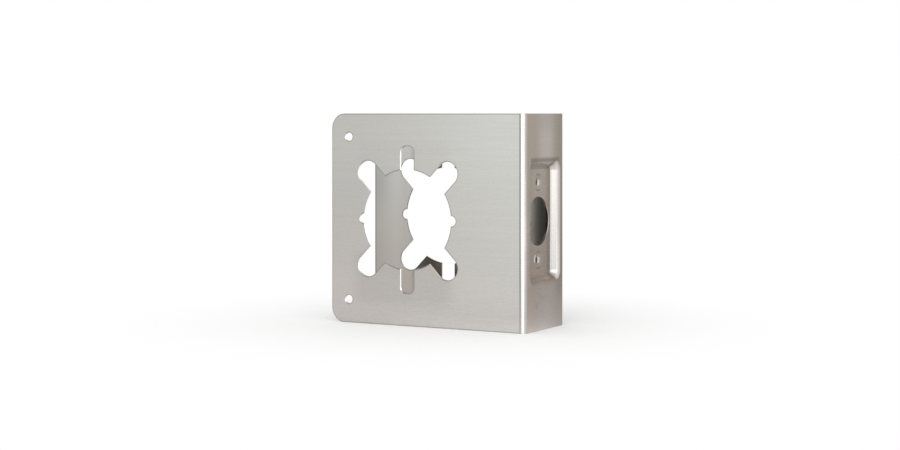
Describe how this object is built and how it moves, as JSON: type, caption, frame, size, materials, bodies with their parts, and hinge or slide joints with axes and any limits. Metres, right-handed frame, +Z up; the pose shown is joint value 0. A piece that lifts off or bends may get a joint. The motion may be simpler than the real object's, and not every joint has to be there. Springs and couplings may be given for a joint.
{
  "type": "wrap-around door plate",
  "caption": "Folded stainless plate that wraps a door's edge, with matching lock cut-outs in both leaves and a drawn latch recess in the edge face.",
  "frame": {"origin": "middle of the base, on the plane of the lower edge, halfway between the leaves and halfway along them", "axes": "+X from the free edges to the edge face, +Y from the front leaf to the back leaf through the door's thickness, +Z up"},
  "size_m": [0.1188, 0.047, 0.1143],
  "materials": {
    "brushed_stainless": "satin, brushed along the leaves' width"
  },
  "bodies": {
    "root": {"wrap_plate": "brushed_stainless"}
  },
  "joints": []
}
